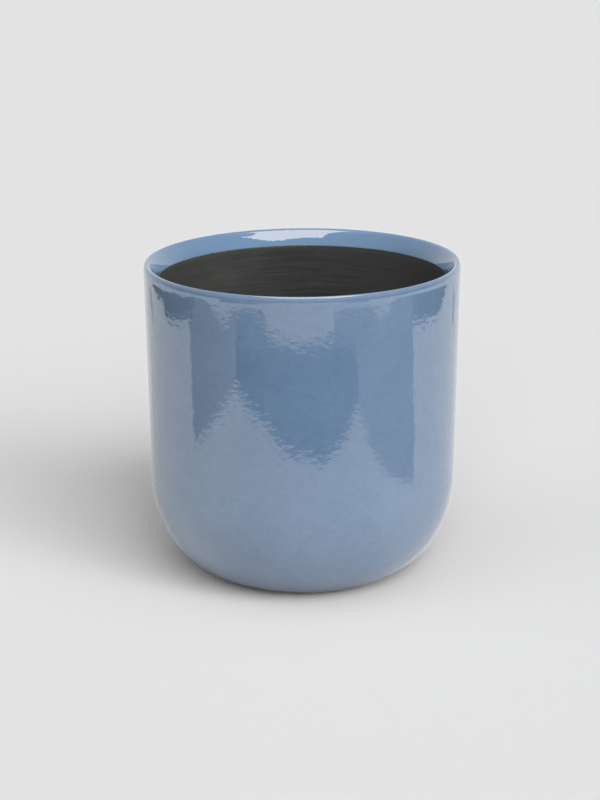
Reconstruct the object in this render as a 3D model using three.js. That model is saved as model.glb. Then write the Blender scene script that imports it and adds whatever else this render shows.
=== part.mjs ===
// Glazed ceramic plant pot for indoor use: a fired clay body with a blue glaze outside and over the
// lip, a dark sealing coat inside that keeps water in, and felt pads under its foot.
// Millimetres, +Z up. The origin is on the floor, in the middle of the pot.
import * as THREE from "three";

// Finished pot, with its coats on
const rimDiameter = 160; // across the outside of the glazed lip
const bodyHeight = 161.2; // from the underside of the foot to the top of the lip
const wallThickness = 7.75; // glazed wall under the lip
const wallTaper = 1.4; // loss of radius from the lip down to the belly
const lipReach = 1.5; // from the lip's top out to the wall
const lipHeight = 4; // how far the lip's outer rounding reaches down
const innerLipRadius = 2.8; // rounding of the lip's inner edge
const bevelDepth = 8.3; // from the top of the lip down to the end of its inner bevel and of the glaze

// Rounded bottom and foot
const bellyHeight = 51.6; // height of the rounded bottom
const footDiameter = 80; // outside of the ring that the body stands on
const footRingWidth = 12;
const footRise = 0.4; // how far the belly's lowest clay stays above the foot ring
const bareFootHeight = 0.4; // height of the belly that is wiped clean of glaze
const recessDepth = 2; // hollow inside the foot ring
const floorThickness = 8; // clay between the recess and the inner floor
const innerCornerRadius = 36; // between the inner wall and the inner floor

// Coats
const glazeThickness = 0.6;
const sealThickness = 0.4;
const bondGap = 0.1; // hairline between a coat or pad and the clay that carries it
const seamGap = 0.3; // between the glaze and the sealing coat, along the wall

// Felt pads
const padCount = 4;
const padDiameter = 10;
const padThickness = 1;

// Facets
const roundSteps = 60; // around the pot
const bareFootSteps = 2;
const bellySteps = 9;
const lipSteps = 4;
const innerLipSteps = 3;
const innerCornerSteps = 8;
const padSides = 24;

// Sizes of the clay, worked out from the finished pot
const glazeHeight = bondGap + glazeThickness;
const sealHeight = bondGap + sealThickness;
const footRadius = footDiameter / 2;
const footZ = padThickness + bondGap;
const crestRadius = rimDiameter / 2 - lipReach;
const crestZ = footZ + bodyHeight - glazeHeight;
const clayLipReach = lipReach - glazeHeight;
const clayLipHeight = lipHeight - glazeHeight;
const clayInnerLip = innerLipRadius - glazeHeight;
const bevelEndZ = footZ + bodyHeight - bevelDepth;
const mouthRadius = rimDiameter / 2 - wallThickness + glazeHeight;
const shoulderRadius = rimDiameter / 2 - wallTaper - glazeHeight;
const shoulderZ = footZ + bellyHeight;
const innerFloorZ = footZ + recessDepth + floorThickness;
const innerCornerZ = innerFloorZ + innerCornerRadius;
const innerWallRadius = mouthRadius - wallTaper;

const quarterTurn = Math.PI / 2;

// Points (radius, height) along an elliptical arc, with both of its ends.
function arc(centreR, centreZ, reachR, reachZ, from, to, steps) {
  const curve = new THREE.EllipseCurve(centreR, centreZ, reachR, reachZ, from, to, from > to);
  return curve.getPoints(steps);
}

// The belly from one angle to another: minus a quarter turn is its lowest point, 0 its shoulder.
function belly(from, to, steps) {
  const reachR = shoulderRadius - footRadius;
  return arc(footRadius, shoulderZ, reachR, bellyHeight - footRise, from, to, steps);
}

// The clay's outline from the foot up the outside, over the lip and down to the inner floor's middle
const glazeEdgeAngle = -Math.asin(1 - bareFootHeight / (bellyHeight - footRise));
const bareFoot = belly(-quarterTurn, glazeEdgeAngle, bareFootSteps);
const innerCorner = arc(
  innerWallRadius - innerCornerRadius,
  innerCornerZ,
  innerCornerRadius,
  innerCornerRadius,
  0,
  -quarterTurn,
  innerCornerSteps,
);

// The point at a distance from one point towards another.
function towards(from, to, distance) {
  return from.clone().lerp(to, distance / from.distanceTo(to));
}

// The lip's inner rounding runs on as a straight bevel, which ends at the glaze line.
const bevelEnd = new THREE.Vector2(mouthRadius, bevelEndZ);
const innerLipCentre = new THREE.Vector2(crestRadius, crestZ - clayInnerLip);
const toBevelEnd = bevelEnd.clone().sub(innerLipCentre);
const bevelAngle = toBevelEnd.angle() - Math.acos(clayInnerLip / toBevelEnd.length());
const innerLip = arc(
  innerLipCentre.x,
  innerLipCentre.y,
  clayInnerLip,
  clayInnerLip,
  quarterTurn,
  bevelAngle,
  innerLipSteps,
);

const glazed = [
  ...belly(glazeEdgeAngle, 0, bellySteps),
  ...arc(crestRadius, crestZ - clayLipHeight, clayLipReach, clayLipHeight, 0, quarterTurn, lipSteps),
  ...innerLip.slice(1),
  bevelEnd,
];
const sealed = [
  towards(bevelEnd, innerCorner[0], seamGap),
  ...innerCorner,
  new THREE.Vector2(0, innerFloorZ),
];
const outline = [...bareFoot, ...glazed.slice(1), ...sealed];
const glazeStart = bareFoot.length - 1;
const sealStart = glazeStart + glazed.length;

// The way out of the clay, square to the outline's stretch from one point to the next.
function outward(from, to) {
  const along = to.clone().sub(from).normalize();
  return new THREE.Vector2(along.y, -along.x);
}

// The outline moved out of the clay, with every stretch kept parallel to itself.
function raised(height) {
  return outline.map((point, i) => {
    const previous = outline[Math.max(i - 1, 0)];
    const next = outline[Math.min(i + 1, outline.length - 1)];
    const after = next === point ? outward(previous, point) : outward(point, next);
    const before = previous === point ? after : outward(previous, point);
    const middle = before.clone().add(after).normalize();
    return point.clone().addScaledVector(middle, height / middle.dot(before));
  });
}

// A profile turned about the pot's axis.
function turned(profile) {
  return new THREE.LatheGeometry(profile, roundSteps).rotateX(quarterTurn);
}

function clayBody() {
  const ringInside = footRadius - footRingWidth;
  const underside = [
    new THREE.Vector2(0, footZ + recessDepth),
    new THREE.Vector2(ringInside - recessDepth, footZ + recessDepth),
    new THREE.Vector2(ringInside, footZ),
    new THREE.Vector2(footRadius, footZ),
  ];
  return turned([...underside, ...outline]);
}

// A coat over part of the outline, closed on itself or ending on the pot's axis.
function coat(start, end, height) {
  const face = raised(height).slice(start, end);
  const back = raised(bondGap).slice(start, end).reverse();
  const onAxis = face.at(-1).x === 0;
  return turned(onAxis ? [...back.slice(1), ...face] : [...face, ...back, face[0]]);
}

function feltPad() {
  const radius = padDiameter / 2;
  return new THREE.CylinderGeometry(radius, radius, padThickness, padSides).rotateX(quarterTurn);
}

const fired = new THREE.MeshStandardMaterial({ color: 0xc2a98c, roughness: 0.9, metalness: 0 });
const glaze = new THREE.MeshStandardMaterial({ color: 0x64809e, roughness: 0.08, metalness: 0 });
const sealer = new THREE.MeshStandardMaterial({ color: 0x3b3d3c, roughness: 0.8, metalness: 0 });
const felt = new THREE.MeshStandardMaterial({ color: 0x6d6a66, roughness: 1, metalness: 0 });

const pot = new THREE.Group();

function addPiece(name, geometry, material) {
  const piece = new THREE.Mesh(geometry, material);
  piece.name = name;
  pot.add(piece);
  return piece;
}

addPiece("clay_body", clayBody(), fired);
addPiece("outer_glaze", coat(glazeStart, sealStart, glazeHeight), glaze);
addPiece("sealing_coat", coat(sealStart, outline.length, sealHeight), sealer);

// The pads sit in the middle of the foot ring, half a step round from the X axis.
const padCircleRadius = footRadius - footRingWidth / 2;
for (let i = 0; i < padCount; i += 1) {
  const turn = ((i + 0.5) / padCount) * 4 * quarterTurn;
  const pad = addPiece(`felt_pad_${i + 1}`, feltPad(), felt);
  pad.position.set(
    padCircleRadius * Math.cos(turn),
    padCircleRadius * Math.sin(turn),
    padThickness / 2,
  );
}

export default pot;
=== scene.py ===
import math

import bpy
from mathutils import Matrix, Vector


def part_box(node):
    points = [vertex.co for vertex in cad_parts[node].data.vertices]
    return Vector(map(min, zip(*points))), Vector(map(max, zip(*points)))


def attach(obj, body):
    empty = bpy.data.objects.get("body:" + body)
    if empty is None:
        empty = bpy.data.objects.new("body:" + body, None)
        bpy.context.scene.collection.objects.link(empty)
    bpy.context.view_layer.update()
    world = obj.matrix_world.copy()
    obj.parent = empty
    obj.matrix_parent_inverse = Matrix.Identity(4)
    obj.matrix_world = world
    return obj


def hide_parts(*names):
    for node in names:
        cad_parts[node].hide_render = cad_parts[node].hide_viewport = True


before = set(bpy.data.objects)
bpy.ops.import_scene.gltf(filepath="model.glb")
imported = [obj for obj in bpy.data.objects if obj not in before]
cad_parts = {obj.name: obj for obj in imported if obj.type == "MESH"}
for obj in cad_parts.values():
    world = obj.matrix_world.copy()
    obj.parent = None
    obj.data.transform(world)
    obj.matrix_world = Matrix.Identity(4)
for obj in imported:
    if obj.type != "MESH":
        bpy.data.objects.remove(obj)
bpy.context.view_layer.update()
print("frame loaded:", ", ".join(sorted(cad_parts)))

# Finished outline of the pot, in metres, as the CAD has it
potForm = {
    "rimRadius": 0.0800,
    "rimTop": 0.1623,
    "wallTaper": 0.0014,
    "wallThickness": 0.00775,
    "lipReach": 0.0015,
    "lipHeight": 0.0040,
    "innerLipRadius": 0.0028,
    "bevelDepth": 0.0083,
    "seamGap": 0.0003,
    "bellyTop": 0.0527,
    "bellyBottom": 0.0008,  # where the glaze's curve would end, if it ran on to the foot
    "bareFootHeight": 0.0004,
    "footRadius": 0.0400,
    "footRingWidth": 0.0120,
    "footZ": 0.0011,
    "footRise": 0.0004,
    "recessDepth": 0.0020,
    "innerFloor": 0.0116,
    "innerCorner": 0.0360,
    "glazeHeight": 0.0007,  # glaze and the hairline behind it
    "sealHeight": 0.0005,  # sealer and the hairline behind it
}

# How the fired pot departs from a true turned form
handMade = {
    "rimTilt": 0.0040,  # rise of the rim from left to right, for each metre
    "cageWidth": 0.2,  # lattice that tilts it
}

# How outlines are drawn, in metres
drawing = {
    "seedSize": 0.001,  # plane that a chain of edges starts from
    "samePoint": 0.000001,  # points of an outline that are closer than this are one
    "weld": 0.000002,  # the same for points of a turned mesh
}


def deselectAll():
    if bpy.context.object and bpy.context.object.mode != "OBJECT":
        bpy.ops.object.mode_set(mode="OBJECT")
    bpy.ops.object.select_all(action="DESELECT")


def makeActive(piece):
    deselectAll()
    piece.select_set(True)
    bpy.context.view_layer.objects.active = piece


def applyModifier(piece, kind, **settings):
    makeActive(piece)
    modifier = piece.modifiers.new(kind.title(), kind)
    for key, value in settings.items():
        setattr(modifier, key, value)
    bpy.ops.object.modifier_apply(modifier=modifier.name)


# Points of an outline are (radius, height)
def between(start, end, share):
    return (start[0] + (end[0] - start[0]) * share, start[1] + (end[1] - start[1]) * share)


def towards(start, end, distance):
    return between(start, end, distance / math.dist(start, end))


def linePoints(start, end, steps):
    return [between(start, end, i / steps) for i in range(steps + 1)]


# Part of an ellipse, from one angle to another in degrees
def arcPoints(centre, reach, start, end, steps):
    points = []
    for i in range(steps + 1):
        turn = math.radians(start + (end - start) * i / steps)
        points.append((centre[0] + reach[0] * math.cos(turn), centre[1] + reach[1] * math.sin(turn)))
    return points


# A curve that leaves its start towards the corner and comes to its end from the corner
def blendPoints(start, corner, end, steps):
    points = []
    for i in range(steps + 1):
        share = i / steps
        points.append(between(between(start, corner, share), between(corner, end, share), share))
    return points


# The rounding of a corner between two straight stretches
def roundedCorner(before, corner, after, size, steps):
    return blendPoints(towards(corner, before, size), corner, towards(corner, after, size), steps)


def joined(*runs):
    points = []
    for run in runs:
        for point in run:
            if not points or math.dist(point, points[-1]) > drawing["samePoint"]:
                points.append(point)
    return points


# Draws a chain of edges through points in space, starting from a plane merged to one point
def drawChain(name, points):
    deselectAll()
    bpy.ops.mesh.primitive_plane_add(size=drawing["seedSize"])
    piece = bpy.context.object
    piece.name = name
    piece.data.name = name
    bpy.ops.object.mode_set(mode="EDIT")
    bpy.ops.mesh.select_all(action="SELECT")
    bpy.ops.mesh.merge(type="CENTER")
    bpy.ops.transform.translate(value=points[0])
    for start, end in zip(points, points[1:]):
        step = tuple(b - a for a, b in zip(start, end))
        bpy.ops.mesh.extrude_vertices_move(TRANSFORM_OT_translate={"value": step})
    return piece


def turnOutline(name, outline, steps, facingIn=False):
    piece = drawChain(name, [(radius, 0, height) for radius, height in outline])
    bpy.ops.mesh.select_all(action="SELECT")
    bpy.ops.mesh.spin(steps=steps, angle=2 * math.pi, center=(0, 0, 0), axis=(0, 0, 1))
    bpy.ops.mesh.select_all(action="SELECT")
    bpy.ops.mesh.remove_doubles(threshold=drawing["weld"])
    bpy.ops.mesh.normals_make_consistent(inside=facingIn)
    bpy.ops.object.mode_set(mode="OBJECT")
    return piece


def addWaves(piece, name, waveLength, height, direction="NORMAL"):
    waves = bpy.data.textures.new(name, "CLOUDS")
    waves.noise_scale = waveLength
    waves.noise_depth = 1
    applyModifier(piece, "DISPLACE", texture=waves, texture_coords="LOCAL", direction=direction,
                  strength=height, mid_level=0.5)


# Makes a turned face as thick as the coat is, with rounded edges
def thicken(piece, coat):
    applyModifier(piece, "SOLIDIFY", thickness=coat["thickness"], offset=-1, use_even_offset=True)
    applyModifier(piece, "BEVEL", width=coat["edgeRounding"], segments=coat["edgeSegments"],
                  limit_method="ANGLE", angle_limit=math.radians(coat["edgeAngle"]))


# The same slight tilt of the rim for all that is on the pot, from one eight-point lattice
def tiltRim(piece):
    deselectAll()
    width, height = handMade["cageWidth"], potForm["rimTop"]
    bpy.ops.object.add(type="LATTICE", location=(0, 0, height / 2))
    cage = bpy.context.object
    cage.scale = (width, width, height)
    for axis in "uvw":
        setattr(cage.data, "interpolation_type_" + axis, "KEY_LINEAR")
    for point in cage.data.points:
        if point.co.z > 0:
            point.co_deform.z += handMade["rimTilt"] * point.co.x * width / height
    bpy.context.view_layer.update()
    applyModifier(piece, "LATTICE", object=cage)
    makeActive(cage)
    bpy.ops.object.delete()


def shadeRound(piece, angle):
    makeActive(piece)
    bpy.ops.object.shade_smooth_by_angle(angle=math.radians(angle))


# Sockets of a mix node that works on colours
mixSockets = {
    "inputs": (0, 6, 7),  # share, first, second
    "output": 2,
}

# Bands that most values of a noise lie in
midNoise = (0.35, 0.65)
wideNoise = (0.3, 0.7)


def greyTone(tone):
    return (tone, tone, tone, 1)


def addNode(tree, kind, inputs=None, **settings):
    node = tree.nodes.new(kind)
    for key, value in settings.items():
        setattr(node, key, value)
    for key, value in (inputs or {}).items():
        node.inputs[key].default_value = value
    return node


# Puts a fixed value or the output of another node into a socket
def feed(tree, socket, value):
    if isinstance(value, bpy.types.NodeSocket):
        tree.links.new(value, socket)
    else:
        socket.default_value = value


def newFinish(name):
    finish = bpy.data.materials.new(name)
    finish.use_nodes = True
    tree = finish.node_tree
    return finish, tree, tree.nodes["Principled BSDF"]


def linkSurface(tree, shader, colour, roughness, normal):
    tree.links.new(colour, shader.inputs["Base Color"])
    tree.links.new(roughness, shader.inputs["Roughness"])
    tree.links.new(normal, shader.inputs["Normal"])


# Noise in the piece's own space; squeeze makes it finer along the height
def noiseOn(tree, scale, detail, roughness, squeeze=1, distortion=0):
    place = addNode(tree, "ShaderNodeTexCoord")
    mapping = addNode(tree, "ShaderNodeMapping", {"Scale": (1, 1, squeeze)})
    noise = addNode(tree, "ShaderNodeTexNoise", {"Scale": scale, "Detail": detail, "Roughness": roughness,
                                                 "Distortion": distortion})
    tree.links.new(place.outputs["Object"], mapping.inputs["Vector"])
    tree.links.new(mapping.outputs["Vector"], noise.inputs["Vector"])
    return noise.outputs["Fac"]


# Maps a band of values onto a span, and keeps to the span's ends outside the band
def ranged(tree, value, band, span=(0, 1)):
    node = addNode(tree, "ShaderNodeMapRange", {"From Min": band[0], "From Max": band[1],
                                                "To Min": span[0], "To Max": span[1]})
    tree.links.new(value, node.inputs["Value"])
    return node.outputs["Result"]


def mixed(tree, share, first, second, blend="MIX"):
    node = addNode(tree, "ShaderNodeMix", data_type="RGBA", blend_type=blend)
    for index, value in zip(mixSockets["inputs"], (share, first, second)):
        feed(tree, node.inputs[index], value)
    return node.outputs[mixSockets["output"]]


def maths(tree, operation, *values):
    node = addNode(tree, "ShaderNodeMath", operation=operation)
    for socket, value in zip(node.inputs, values):
        feed(tree, socket, value)
    return node.outputs["Value"]


def bumped(tree, height, distance, below=None):
    bump = addNode(tree, "ShaderNodeBump", {"Strength": 1.0, "Distance": distance})
    tree.links.new(height, bump.inputs["Height"])
    if below:
        tree.links.new(below, bump.inputs["Normal"])
    return bump.outputs["Normal"]


def placeParts(tree, kind="Object"):
    place = addNode(tree, "ShaderNodeTexCoord")
    parts = addNode(tree, "ShaderNodeSeparateXYZ")
    tree.links.new(place.outputs[kind], parts.inputs["Vector"])
    return parts.outputs["X"], parts.outputs["Y"], parts.outputs["Z"]


# Distance from the pot's axis
def axisDistance(tree, x, y):
    squares = [maths(tree, "MULTIPLY", part, part) for part in (x, y)]
    return maths(tree, "SQRT", maths(tree, "ADD", *squares))


# Blue glaze
glaze = {
    "steps": 240,
    "bellySteps": 40,
    "wallSteps": 52,
    "outerLipSteps": 14,
    "innerLipSteps": 9,
    "bevelSteps": 14,
    "smoothAngle": 40,
    "thickness": 0.0006,
    "edgeRounding": 0.00022,
    "edgeSegments": 3,
    "edgeAngle": 50,
    "slowWave": 0.030,
    "slowWaveHeight": 0.00004,
    "quickWave": 0.013,
    "quickWaveHeight": 0.00003,
    "bevelCrown": 9.0,  # degrees that the bevel inside the lip swells at each end
    "blue": (0.121, 0.195, 0.305, 1),
    "deepBlue": (0.113, 0.184, 0.291, 1),
    "lipBlue": (0.097, 0.189, 0.325, 1),
    # painted light: the lip's right side is lighter
    "rightLipPaintedLightBlue": (0.108, 0.218, 0.380, 1),
    # darker at the foot: partly glaze gathered there, partly painted shade near the floor
    "footPoolAndShadeBlue": (0.086, 0.152, 0.254, 1),
    "halfSpeck": (0.465, 0.535),  # tone of fine or coarse specks; the two are added up
    "wander": (-0.0006, 0.0006),  # of the edges of the lip's blue and the foot's blue
    "lipEdge": (-0.0012, 0.0004),  # fade of the lip's blue, outwards from the lip's crest
    "mouthEdge": (0.150, 0.152),  # heights between which it sets in
    "leftToRight": (-0.010, 0.070),  # where it turns into the right lip's lighter blue, which is painted light
    "footPoolAndShadeEdge": (0.003, 0.010),  # heights between which the foot's darker blue fades out; it is partly glaze gathered there, partly painted shade
    "footPoolAndShadeShare": 0.6,
    "roughness": (0.020, 0.040),
    "rippleDepth": 0.000010,
    "peelDepth": 0.000036,
    "peelHeights": (0.090, 0.150),
    "peelGain": (2.0, 1.0),
    "ior": 2.0,
}


# The lip's inner rounding, and the end of the bevel that it runs on as; inset is how far under the glaze
def innerLipAndBevel(inset, crown, steps):
    rim, top, innerLip = potForm["rimRadius"], potForm["rimTop"], potForm["innerLipRadius"]
    radius = innerLip - inset
    middle = (rim - potForm["lipReach"], top - innerLip)
    end = (rim - potForm["wallThickness"] + inset, top - potForm["bevelDepth"])
    away = math.degrees(math.atan2(end[1] - middle[1], end[0] - middle[0])) % 360
    square = away - math.degrees(math.acos(radius / math.dist(end, middle)))
    return arcPoints(middle, (radius, radius), 90, square - crown, steps), end


def glazeOutline():
    rim, top, reach = potForm["rimRadius"], potForm["rimTop"], potForm["lipReach"]
    foot, bellyTop = potForm["footRadius"], potForm["bellyTop"]
    bellySize = (rim - potForm["wallTaper"] - foot, bellyTop - potForm["bellyBottom"])
    bareAngle = -math.degrees(math.asin(1 - potForm["bareFootHeight"] / bellySize[1]))
    belly = arcPoints((foot, bellyTop), bellySize, bareAngle, 0, glaze["bellySteps"])
    lipFoot = (rim, top - potForm["lipHeight"])
    wall = linePoints(belly[-1], lipFoot, glaze["wallSteps"])
    lipSize = (reach, potForm["lipHeight"])
    outerLip = arcPoints((rim - reach, lipFoot[1]), lipSize, 0, 90, glaze["outerLipSteps"])
    # the bevel inside the lip swells a little
    innerLip, glazeLine = innerLipAndBevel(0, glaze["bevelCrown"], glaze["innerLipSteps"])
    start = innerLip[-1]
    run = (glazeLine[0] - start[0], glazeLine[1] - start[1])
    swell = math.tan(math.radians(glaze["bevelCrown"])) / 2
    peak = (start[0] + run[0] / 2 + run[1] * swell, start[1] + run[1] / 2 - run[0] * swell)
    bevel = blendPoints(start, peak, glazeLine, glaze["bevelSteps"])
    return joined(belly, wall, outerLip, innerLip, bevel)


def makeGlaze():
    piece = turnOutline("blue_glaze", glazeOutline(), glaze["steps"])
    addWaves(piece, "slowGlazeWaves", glaze["slowWave"], glaze["slowWaveHeight"])
    addWaves(piece, "quickGlazeWaves", glaze["quickWave"], glaze["quickWaveHeight"])
    thicken(piece, glaze)
    tiltRim(piece)
    shadeRound(piece, glaze["smoothAngle"])
    return piece


def glazeFinish():
    finish, tree, shader = newFinish("blueGlaze")
    x, y, height = placeParts(tree)
    radius = axisDistance(tree, x, y)
    cloud = noiseOn(tree, scale=45, detail=4, roughness=0.6)
    grain = noiseOn(tree, scale=900, detail=2, roughness=0.5)
    mottle = noiseOn(tree, scale=200, detail=2, roughness=0.6, squeeze=1.5)
    blue = mixed(tree, ranged(tree, cloud, midNoise), glaze["deepBlue"], glaze["blue"])
    fine, coarse = (ranged(tree, noise, wideNoise, glaze["halfSpeck"]) for noise in (grain, mottle))
    blue = mixed(tree, 1.0, blue, maths(tree, "ADD", fine, coarse), "MULTIPLY")
    # the glaze is bluer inside the lip, and lighter there to the right, a painted light; it is darker
    # towards the foot, partly glaze gathered thicker there and partly painted shade near the floor
    wander = ranged(tree, cloud, wideNoise, glaze["wander"])
    crest = potForm["rimRadius"] - potForm["lipReach"]
    lipEdge = [crest + outwards for outwards in glaze["lipEdge"]]
    inside = ranged(tree, maths(tree, "ADD", radius, wander), lipEdge, (1, 0))
    aboveMouth = ranged(tree, height, glaze["mouthEdge"])
    # the lip's blue turns lighter to the right, painted light
    lipBlue = mixed(tree, ranged(tree, x, glaze["leftToRight"]), glaze["lipBlue"], glaze["rightLipPaintedLightBlue"])
    blue = mixed(tree, maths(tree, "MULTIPLY", inside, aboveMouth), blue, lipBlue)
    edgeHeight = maths(tree, "ADD", height, wander)
    footPoolAndShadeShare = ranged(tree, edgeHeight, glaze["footPoolAndShadeEdge"], (glaze["footPoolAndShadeShare"], 0))
    blue = mixed(tree, footPoolAndShadeShare, blue, glaze["footPoolAndShadeBlue"])
    ripple = noiseOn(tree, scale=110, detail=1, roughness=0.5, squeeze=2)
    # the peel is deeper down the wall, where the glaze ran thicker
    peel = noiseOn(tree, scale=320, detail=2, roughness=0.5, squeeze=1.3)
    peel = maths(tree, "MULTIPLY", peel, ranged(tree, height, glaze["peelHeights"], glaze["peelGain"]))
    normal = bumped(tree, ripple, glaze["rippleDepth"])
    normal = bumped(tree, peel, glaze["peelDepth"], normal)
    linkSurface(tree, shader, blue, ranged(tree, cloud, wideNoise, glaze["roughness"]), normal)
    shader.inputs["IOR"].default_value = glaze["ior"]
    return finish


# Dull sealing coat inside
sealer = {
    "steps": 160,
    "wallSteps": 40,
    "cornerSteps": 24,
    "floorSteps": 14,
    "smoothAngle": 40,
    "thickness": 0.0004,
    "edgeRounding": 0.00015,
    "edgeSegments": 2,
    "edgeAngle": 50,
    "wave": 0.020,
    "waveHeight": 0.00010,
    "grey": (0.034, 0.036, 0.035, 1),
    "darkGrey": (0.021, 0.023, 0.022, 1),
    # lighter grey of worn patches, also used for painted light at the two sides
    "wornAndPaintedLightGrey": (0.052, 0.054, 0.051, 1),
    "wornNoise": (0.52, 0.72),
    "wornShare": 0.6,
    "leftPaintedLightBand": (-0.055, -0.008),  # where painted light makes the coat lighter on the left
    "leftPaintedLightShare": 0.50,
    # where painted light makes the coat lighter on the right
    "rightPaintedLightBand": (0.010, 0.050),
    "rightPaintedLightShare": 0.60,
    "roughness": (0.66, 0.82),
    "streakDepth": 0.00010,
    "grainDepth": 0.00003,
}


def sealerOutline():
    lift = potForm["glazeHeight"] - potForm["sealHeight"]
    wallTop = potForm["rimRadius"] - potForm["wallThickness"] + lift
    seamZ = potForm["rimTop"] - potForm["bevelDepth"] - potForm["seamGap"]
    cornerSize = potForm["innerCorner"] - potForm["sealHeight"]
    wallLow = wallTop - potForm["wallTaper"]
    cornerCentre = (wallLow - cornerSize, potForm["innerFloor"] + cornerSize)
    wall = linePoints((wallTop, seamZ), (wallLow, cornerCentre[1]), sealer["wallSteps"])
    turn = arcPoints(cornerCentre, (cornerSize, cornerSize), 0, -90, sealer["cornerSteps"])
    floor = linePoints(turn[-1], (0, potForm["innerFloor"]), sealer["floorSteps"])
    return joined(wall, turn, floor)


def makeSealer():
    piece = turnOutline("sealer_lining", sealerOutline(), sealer["steps"], facingIn=True)
    addWaves(piece, "sealerWaves", sealer["wave"], sealer["waveHeight"])
    thicken(piece, sealer)
    tiltRim(piece)
    shadeRound(piece, sealer["smoothAngle"])
    return piece


def sealerFinish():
    finish, tree, shader = newFinish("dullSealer")
    streak = noiseOn(tree, scale=32, detail=3, roughness=0.6, squeeze=24)
    patch = noiseOn(tree, scale=30, detail=3, roughness=0.6, squeeze=2)
    grain = noiseOn(tree, scale=800, detail=2, roughness=0.6)
    grey = mixed(tree, ranged(tree, streak, midNoise), sealer["darkGrey"], sealer["grey"])
    worn = ranged(tree, patch, sealer["wornNoise"], (0, sealer["wornShare"]))
    grey = mixed(tree, worn, grey, sealer["wornAndPaintedLightGrey"])
    # painted light: the coat is lighter at the two sides
    x = placeParts(tree)[0]
    left = ranged(tree, x, sealer["leftPaintedLightBand"], (sealer["leftPaintedLightShare"], 0))
    right = ranged(tree, x, sealer["rightPaintedLightBand"], (0, sealer["rightPaintedLightShare"]))
    grey = mixed(tree, maths(tree, "ADD", left, right), grey, sealer["wornAndPaintedLightGrey"])
    normal = bumped(tree, streak, sealer["streakDepth"])
    normal = bumped(tree, grain, sealer["grainDepth"], normal)
    linkSurface(tree, shader, grey, ranged(tree, streak, wideNoise, sealer["roughness"]), normal)
    return finish


# Fired clay body, bare only at the foot and under it
clay = {
    "steps": 160,
    "bellySteps": 36,
    "outerLipSteps": 8,
    "innerLipSteps": 6,
    "cornerSteps": 20,
    "footRingSteps": 6,
    "footRoundingSteps": 4,
    "smoothAngle": 35,
    "ringPitch": 0.0018,
    "ringDepth": 0.00010,
    "footRounding": 0.0003,
    "buff": (0.539, 0.397, 0.262, 1),
    "paleBuff": (0.600, 0.462, 0.325, 1),
    "ironSpeck": (0.220, 0.120, 0.060, 1),
    "speckNoise": (0.72, 0.76),
    "speckShare": 0.8,
    "roughness": (0.84, 0.96),
    "gritDepth": 0.00006,
}


# Turning rings in the recess under the pot, then the foot ring around it
def footOutline():
    foot, footZ = potForm["footRadius"], potForm["footZ"]
    recessZ = footZ + potForm["recessDepth"]
    recessRim = foot - potForm["footRingWidth"] - potForm["recessDepth"]
    recess = [(0, recessZ)]
    halfRings = int(recessRim / clay["ringPitch"]) * 2
    for i in range(1, halfRings):
        dip = clay["ringDepth"] if i % 2 else 0
        recess.append((recessRim * i / halfRings, recessZ - dip))
    recess.append((recessRim, recessZ))
    ringInside = (foot - potForm["footRingWidth"], footZ)
    ringOutside = (foot, footZ)
    bellyFoot = (foot, footZ + potForm["footRise"])
    rounding = (clay["footRounding"], clay["footRoundingSteps"])
    innerEdge = roundedCorner(recess[-1], ringInside, ringOutside, *rounding)
    outerEdge = roundedCorner(ringInside, ringOutside, bellyFoot, *rounding)
    flat = linePoints(innerEdge[-1], outerEdge[0], clay["footRingSteps"])
    return joined(recess, innerEdge, flat, outerEdge)


def clayOutline():
    coat, rim, top = potForm["glazeHeight"], potForm["rimRadius"], potForm["rimTop"]
    foot, bellyTop = potForm["footRadius"], potForm["bellyTop"]
    bellyFootZ = potForm["footZ"] + potForm["footRise"]
    bellySize = (rim - potForm["wallTaper"] - coat - foot, bellyTop - bellyFootZ)
    belly = arcPoints((foot, bellyTop), bellySize, -90, 0, clay["bellySteps"])
    lipSize = (potForm["lipReach"] - coat, potForm["lipHeight"] - coat)
    lipCentre = (rim - potForm["lipReach"], top - potForm["lipHeight"])
    outerLip = arcPoints(lipCentre, lipSize, 0, 90, clay["outerLipSteps"])
    innerLip, mouth = innerLipAndBevel(coat, 0, clay["innerLipSteps"])
    wallLow = mouth[0] - potForm["wallTaper"]
    floorZ = potForm["innerFloor"] - potForm["sealHeight"]
    corner = potForm["innerCorner"]
    innerWall = [mouth, (wallLow, floorZ + corner)]
    cornerCentre = (wallLow - corner, floorZ + corner)
    innerCorner = arcPoints(cornerCentre, (corner, corner), 0, -90, clay["cornerSteps"])
    return joined(footOutline(), belly, outerLip, innerLip, innerWall, innerCorner, [(0, floorZ)])


def makeClay():
    piece = turnOutline("clay_core", clayOutline(), clay["steps"])
    tiltRim(piece)
    shadeRound(piece, clay["smoothAngle"])
    return piece


def clayFinish():
    finish, tree, shader = newFinish("bareFiredClay")
    cloud = noiseOn(tree, scale=60, detail=5, roughness=0.6)
    grit = noiseOn(tree, scale=1400, detail=2, roughness=0.7)
    speck = noiseOn(tree, scale=700, detail=0, roughness=0.5)
    buff = mixed(tree, ranged(tree, cloud, midNoise), clay["buff"], clay["paleBuff"])
    speckShare = ranged(tree, speck, clay["speckNoise"], (0, clay["speckShare"]))
    buff = mixed(tree, speckShare, buff, clay["ironSpeck"])
    normal = bumped(tree, grit, clay["gritDepth"])
    linkSurface(tree, shader, buff, ranged(tree, grit, wideNoise, clay["roughness"]), normal)
    return finish


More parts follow.
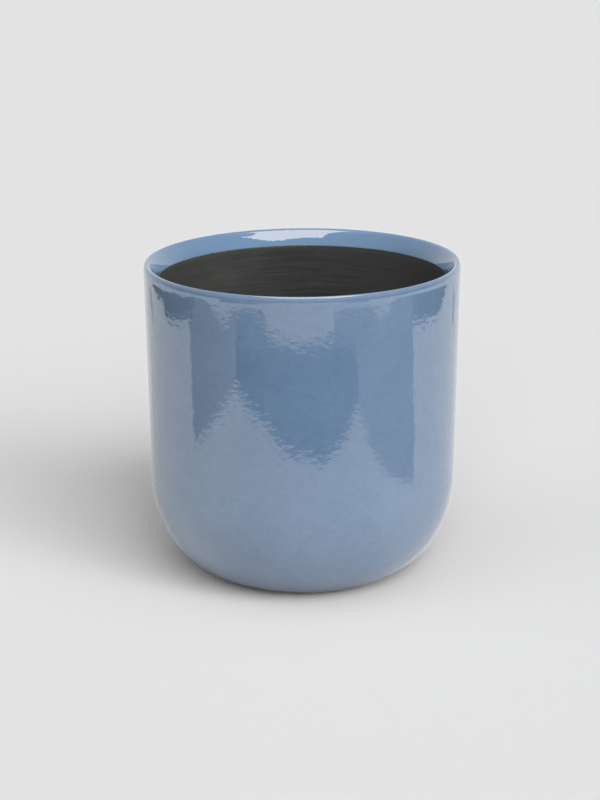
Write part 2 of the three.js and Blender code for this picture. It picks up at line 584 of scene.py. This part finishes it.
# Felt pads under the foot ring
feltPad = {
    "nodes": ("felt_pad_1", "felt_pad_2", "felt_pad_3", "felt_pad_4"),
    "sides": 64,
    "faceSteps": 6,
    "sideSteps": 3,
    "roundingSteps": 4,
    "smoothAngle": 50,
    "rounding": 0.00025,
    "fuzzSize": 0.0009,
    "fuzzHeight": 0.00016,
    "grey": (0.153, 0.144, 0.133, 1),
    "darkGrey": (0.095, 0.090, 0.084, 1),
    "paleFibre": (0.240, 0.230, 0.216, 1),
    "fibreNoise": (0.55, 0.70),
    "fibreShare": 0.7,
    "fibreDepth": 0.00010,
    "roughness": (0.90, 1.0),
    "sheen": 0.4,
    "sheenRoughness": 0.5,
}


def makePad(name, node):
    low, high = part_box(node)
    middle = (low + high) / 2
    radius = (high.x - low.x) / 2
    rounding = feltPad["rounding"]
    flat = radius - rounding
    corner = (rounding, rounding)
    faceSteps, roundingSteps = feltPad["faceSteps"], feltPad["roundingSteps"]
    lowSide, highSide = low.z + rounding, high.z - rounding
    outline = joined(
        linePoints((0, low.z), (flat, low.z), faceSteps),
        arcPoints((flat, lowSide), corner, -90, 0, roundingSteps),
        linePoints((radius, lowSide), (radius, highSide), feltPad["sideSteps"]),
        arcPoints((flat, highSide), corner, 0, 90, roundingSteps),
        linePoints((flat, high.z), (0, high.z), faceSteps),
    )
    pad = turnOutline(name, outline, feltPad["sides"])
    pad.location = (middle.x, middle.y, 0)
    bpy.ops.object.transform_apply(location=True, rotation=False, scale=False)
    # the fuzz only goes sideways: the pad is pressed flat where it stands and where it is stuck on
    for direction in "XY":
        addWaves(pad, "feltFuzz" + direction, feltPad["fuzzSize"], feltPad["fuzzHeight"], direction)
    shadeRound(pad, feltPad["smoothAngle"])
    return pad


def makePads():
    return [makePad("grey_felt_" + str(i + 1), node) for i, node in enumerate(feltPad["nodes"])]


def feltFinish():
    finish, tree, shader = newFinish("greyFelt")
    fibre = noiseOn(tree, scale=1500, detail=3, roughness=0.7, squeeze=2, distortion=1.5)
    clump = noiseOn(tree, scale=400, detail=2, roughness=0.6)
    grey = mixed(tree, ranged(tree, clump, midNoise), feltPad["darkGrey"], feltPad["grey"])
    fibreShare = ranged(tree, fibre, feltPad["fibreNoise"], (0, feltPad["fibreShare"]))
    grey = mixed(tree, fibreShare, grey, feltPad["paleFibre"])
    normal = bumped(tree, fibre, feltPad["fibreDepth"])
    linkSurface(tree, shader, grey, ranged(tree, fibre, wideNoise, feltPad["roughness"]), normal)
    shader.inputs["Sheen Weight"].default_value = feltPad["sheen"]
    shader.inputs["Sheen Roughness"].default_value = feltPad["sheenRoughness"]
    return finish


def standIn(piece, node, finish):
    piece.data.materials.clear()
    piece.data.materials.append(finish)
    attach(piece, "root")
    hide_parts(node)


standIn(makeClay(), "clay_body", clayFinish())
print("clay core made")
standIn(makeGlaze(), "outer_glaze", glazeFinish())
print("glaze made")
standIn(makeSealer(), "sealing_coat", sealerFinish())
print("sealer lining made")
felt = feltFinish()
for pad, padNode in zip(makePads(), feltPad["nodes"]):
    standIn(pad, padNode, felt)
print("felt pads made")

# Studio: pale floor, soft key light from the right, cards that only the gloss sees
studio = {
    "floorSize": 30.0,
    "floorTone": greyTone(0.768),
    "floorByPot": (0.770, 0.744, 0.706, 1),
    "byPot": (0.05, 0.24),  # distances from the axis over which it fades out
    "byPotFade": 3,  # power of the fade
    "floorInBounce": greyTone(0.50),
    "floorInGloss": (1.06, 1.05, 1.05, 1),
    "frontFloorInGloss": (0.86, 0.79, 0.75, 1),
    "frontTurn": (-0.90, -0.55),  # sine of the way round from the right, over which the front ends
    "shadeInGloss": 0.62,
    "shadeReach": (0.050, 0.068),  # distances from the axis over which the shade ends
    "shadeLean": 0.12,  # how much further it reaches to the left, as a share
    "skyLight": greyTone(0.180),
    "horizonInGloss": greyTone(0.95),
    "horizonHeights": (0.00, 0.08),  # heights in the sky are those of a unit ball around the pot
    "horizonSides": (0.35, 0.90),
    "horizonDrop": 0.20,  # how much lower the horizon is at the sides
    "sideSkyInGloss": greyTone(0.12),
    "midSkyHeights": (0.10, 0.45),
    "midSkyShare": 0.50,
    "topSkyInGloss": greyTone(1.00),
    "topSkyHeights": (0.80, 0.92),
    "backInGloss": greyTone(1.00),
    "backDepths": (0.10, 0.80),
    "backHeights": (0.35, 0.75),
    "cardSpacing": 0.0002,
    "cardTint": greyTone(1),
    "softboxTint": (1, 0.88, 0.74, 1),
    "lampPlace": (1, -1.4, 2.5),  # of no effect, since the lamps are suns
}

# azimuth to the right of the front, elevation, width of the light, share of the light on the floor
softLights = {
    "softKey": (31, 38, 40, 0.299),
    "lowKey": (54, 20, 28, 0.111),
    "frontFill": (0, 27.5, 32, 0.161),
    "overhead": (10, 68, 66, 0.206),
    "leftFill": (-75, 30, 50, 0.044),
}

# tone, then corners on the floor; later cards lie on top
floorCards = {
    "leftGreyCard": (0.38, ((-0.293, -0.070), (-0.307, -0.142), (-0.316, -0.219), (-0.303, -0.305),
                            (-0.240, -0.560), (-0.281, -0.563), (-0.359, -0.517), (-0.440, -0.446),
                            (-0.464, -0.413), (-0.461, -0.390), (-0.479, -0.354), (-0.504, -0.322),
                            (-0.529, -0.318), (-0.545, -0.302), (-0.578, -0.275), (-0.660, -0.270),
                            (-0.780, -0.195), (-0.640, -0.142), (-0.581, -0.074))),
    "rightGreyCard": (0.38, ((0.228, -0.320), (0.228, -0.253), (0.215, -0.190), (0.218, -0.142),
                             (0.222, -0.096), (0.220, -0.057), (0.312, -0.055), (0.571, -0.095),
                             (0.641, -0.115), (0.800, -0.155), (0.720, -0.243), (0.600, -0.290),
                             (0.549, -0.315), (0.524, -0.330), (0.499, -0.363), (0.480, -0.400),
                             (0.470, -0.434), (0.433, -0.478), (0.369, -0.524), (0.304, -0.566),
                             (0.221, -0.601))),
    "frontDarkCard": (0.03, ((-0.303, -0.309), (-0.233, -0.324), (-0.146, -0.336), (-0.095, -0.318),
                             (0.013, -0.307), (0.060, -0.290), (0.118, -0.295), (0.176, -0.307),
                             (0.245, -0.326), (0.291, -0.382), (0.315, -0.441), (0.306, -0.527),
                             (0.204, -0.531), (0.086, -0.537), (-0.038, -0.543), (-0.119, -0.536),
                             (-0.253, -0.521), (-0.375, -0.489), (-0.390, -0.392), (-0.344, -0.348))),
    "leftGapCard": (0.20, ((-0.458, -0.429), (-0.386, -0.503), (-0.285, -0.570), (-0.269, -0.538),
                           (-0.269, -0.507), (-0.236, -0.501), (-0.264, -0.471), (-0.328, -0.427),
                           (-0.375, -0.419), (-0.419, -0.413))),
    "rightGapCard": (0.30, ((0.221, -0.600), (0.335, -0.543), (0.435, -0.468), (0.430, -0.440),
                            (0.398, -0.429), (0.410, -0.381), (0.358, -0.398), (0.254, -0.476),
                            (0.184, -0.522), (0.208, -0.547), (0.211, -0.575))),
    "leftHorizonCard": (0.14, ((-0.660, -0.412), (-0.600, -0.455), (-0.500, -0.560), (-0.520, -0.820),
                               (-0.700, -1.500), (-1.200, -3.000), (-4.000, -3.000), (-4.000, -2.500))),
    "rightHorizonCard": (0.14, ((0.800, -0.770), (0.780, -0.840), (0.750, -1.150), (1.000, -2.000),
                                (1.400, -3.200), (3.300, -3.200))),
    "leftDarkCard": (0.12, ((-0.508, 0.440), (-0.519, 0.406), (-0.525, 0.373), (-0.545, 0.318),
                            (-0.565, 0.254), (-0.569, 0.207), (-0.548, 0.224), (-0.545, 0.186),
                            (-0.559, 0.111), (-0.575, 0.022), (-0.580, -0.051), (-0.582, -0.100),
                            (-0.600, -0.119), (-0.640, -0.142), (-0.780, -0.165), (-0.680, -0.043),
                            (-0.690, 0.086), (-0.650, 0.233), (-0.605, 0.344), (-0.560, 0.462))),
    "rightDarkCard": (0.13, ((0.641, -0.115), (0.605, -0.109), (0.571, -0.103), (0.566, -0.054),
                             (0.566, -0.004), (0.573, 0.060), (0.553, 0.168), (0.556, 0.228),
                             (0.565, 0.266), (0.572, 0.306), (0.573, 0.348), (0.630, 0.352),
                             (0.690, 0.268), (0.770, 0.072), (0.800, 0.037), (0.800, -0.125))),
    "rightPaleCard": (0.90, ((0.468, -0.378), (0.466, -0.350), (0.478, -0.334), (0.494, -0.338))),
    "leftStreakCard": (0.65, ((-0.430, 0.475), (-0.470, 0.458), (-0.450, 0.400), (-0.420, 0.350),
                              (-0.398, 0.365), (-0.425, 0.420))),
    "rightStreakCard": (0.65, ((0.440, 0.470), (0.470, 0.450), (0.440, 0.400), (0.395, 0.350),
                               (0.368, 0.380), (0.405, 0.430))),
}

# tone, then corners in the air
hungCards = {
    "softboxCard": (4.2, ((0.653, -0.229, 1.082), (0.604, -0.376, 1.041), (0.575, -0.489, 1.009),
                          (0.515, -0.617, 0.973), (0.385, -0.757, 0.933), (0.268, -0.764, 0.931),
                          (0.149, -0.703, 0.948), (0.010, -0.678, 0.955), (-0.098, -0.655, 0.962),
                          (-0.242, -0.628, 0.969), (-0.259, -0.460, 1.017), (-0.310, -0.338, 1.051),
                          (-0.335, -0.289, 1.065), (-0.330, 0.150, 1.189), (0.370, 0.150, 1.189),
                          (0.399, -0.263, 1.072), (0.551, -0.346, 1.049))),
}


def glowFinish(name, tone, tint):
    finish = bpy.data.materials.new(name)
    finish.use_nodes = True
    tree = finish.node_tree
    tree.nodes.clear()
    output = addNode(tree, "ShaderNodeOutputMaterial")
    glow = addNode(tree, "ShaderNodeEmission", {"Color": tint, "Strength": tone})
    tree.links.new(glow.outputs["Emission"], output.inputs["Surface"])
    return finish


def glossOnly(card):
    for rays in ("camera", "diffuse", "transmission", "volume_scatter", "shadow"):
        setattr(card, "visible_" + rays, False)


def makeCard(name, tone, corners, tint):
    card = drawChain(name, corners)
    bpy.ops.mesh.select_all(action="SELECT")
    bpy.ops.mesh.edge_face_add()
    bpy.ops.object.mode_set(mode="OBJECT")
    card.data.materials.append(glowFinish(name, tone, tint))
    glossOnly(card)


def makeCards():
    for i, (name, (tone, corners)) in enumerate(floorCards.items()):
        height = studio["cardSpacing"] * (i + 1)
        makeCard(name, tone, [(x, y, height) for x, y in corners], studio["cardTint"])
    for name, (tone, corners) in hungCards.items():
        makeCard(name, tone, corners, studio["softboxTint"])


def makeFloor():
    deselectAll()
    bpy.ops.mesh.primitive_plane_add(size=studio["floorSize"])
    floor = bpy.context.object
    floor.name = "paleFloor"
    finish, tree, shader = newFinish("paleFloor")
    path = addNode(tree, "ShaderNodeLightPath")
    x, y = placeParts(tree)[:2]
    radius = axisDistance(tree, x, y)
    # a little warmth close to the pot takes out the blue that it throws on the floor
    near = maths(tree, "POWER", ranged(tree, radius, studio["byPot"], (1, 0)), studio["byPotFade"])
    pale = mixed(tree, near, studio["floorTone"], studio["floorByPot"])
    front = ranged(tree, maths(tree, "DIVIDE", y, radius), studio["frontTurn"], (1, 0))
    gloss = mixed(tree, front, studio["floorInGloss"], studio["frontFloorInGloss"])
    # the floor darkens under the belly, further out to the left, away from the key light
    reach = maths(tree, "ADD", radius, maths(tree, "MULTIPLY", x, studio["shadeLean"]))
    shade = ranged(tree, reach, studio["shadeReach"], (studio["shadeInGloss"], 1))
    gloss = mixed(tree, 1.0, gloss, shade, "MULTIPLY")
    colour = mixed(tree, path.outputs["Is Camera Ray"], studio["floorInBounce"], pale)
    colour = mixed(tree, path.outputs["Is Glossy Ray"], colour, gloss)
    diffuse = addNode(tree, "ShaderNodeBsdfDiffuse")
    tree.links.new(colour, diffuse.inputs["Color"])
    output = tree.nodes["Material Output"]
    tree.links.new(diffuse.outputs["BSDF"], output.inputs["Surface"])
    tree.nodes.remove(shader)
    floor.data.materials.append(finish)


def makeWorld():
    world = bpy.data.worlds.new("studioWorld")
    bpy.context.scene.world = world
    world.use_nodes = True
    tree = world.node_tree
    tree.nodes.clear()
    path = addNode(tree, "ShaderNodeLightPath")
    x, y, z = placeParts(tree, "Generated")
    # the pale horizon reaches less high to the sides
    sideways = maths(tree, "ABSOLUTE", x)
    drop = ranged(tree, sideways, studio["horizonSides"], (0, studio["horizonDrop"]))
    aboveHorizon = ranged(tree, maths(tree, "ADD", z, drop), studio["horizonHeights"])
    gloss = mixed(tree, aboveHorizon, studio["horizonInGloss"], studio["sideSkyInGloss"])
    midSky = ranged(tree, z, studio["midSkyHeights"], (0, studio["midSkyShare"]))
    gloss = mixed(tree, midSky, gloss, studio["topSkyInGloss"])
    gloss = mixed(tree, ranged(tree, z, studio["topSkyHeights"]), gloss, studio["topSkyInGloss"])
    # a pale backdrop behind the pot, fading out to the sides and upwards
    behind = ranged(tree, y, studio["backDepths"])
    below = ranged(tree, z, studio["backHeights"], (1, 0))
    gloss = mixed(tree, maths(tree, "MULTIPLY", behind, below), gloss, studio["backInGloss"])
    tone = mixed(tree, path.outputs["Is Glossy Ray"], studio["skyLight"], gloss)
    tone = mixed(tree, path.outputs["Is Camera Ray"], tone, studio["floorTone"])
    background = addNode(tree, "ShaderNodeBackground", {"Strength": 1.0})
    output = addNode(tree, "ShaderNodeOutputWorld")
    tree.links.new(tone, background.inputs["Color"])
    tree.links.new(background.outputs["Background"], output.inputs["Surface"])


def makeLights():
    for name, (azimuth, elevation, width, share) in softLights.items():
        deselectAll()
        bpy.ops.object.light_add(type="SUN", location=studio["lampPlace"])
        lamp = bpy.context.object
        lamp.name = name
        height = math.radians(elevation)
        lamp.rotation_euler = (math.pi / 2 - height, 0, math.radians(azimuth))
        lamp.data.energy = math.pi * share / math.sin(height)
        lamp.data.angle = math.radians(width)
        lamp.visible_glossy = False


# Camera as it stood for the photograph
cameraSetup = {
    "location": (-0.0013, -0.9166, 0.3680),
    "pitch": 73.047,
    "roll": -0.218,
    "lens": 83.74,
    "sensorWidth": 36,
}


def makeCamera():
    deselectAll()
    bpy.ops.object.camera_add(location=cameraSetup["location"],
                              rotation=(math.radians(cameraSetup["pitch"]), 0, 0))
    camera = bpy.context.object
    camera.rotation_euler.rotate_axis("Z", math.radians(cameraSetup["roll"]))
    camera.data.lens = cameraSetup["lens"]
    camera.data.sensor_width = cameraSetup["sensorWidth"]
    bpy.context.scene.camera = camera


makeFloor()
makeCards()
makeWorld()
makeLights()
makeCamera()
bpy.context.scene.view_settings.view_transform = "Standard"
print("studio made")
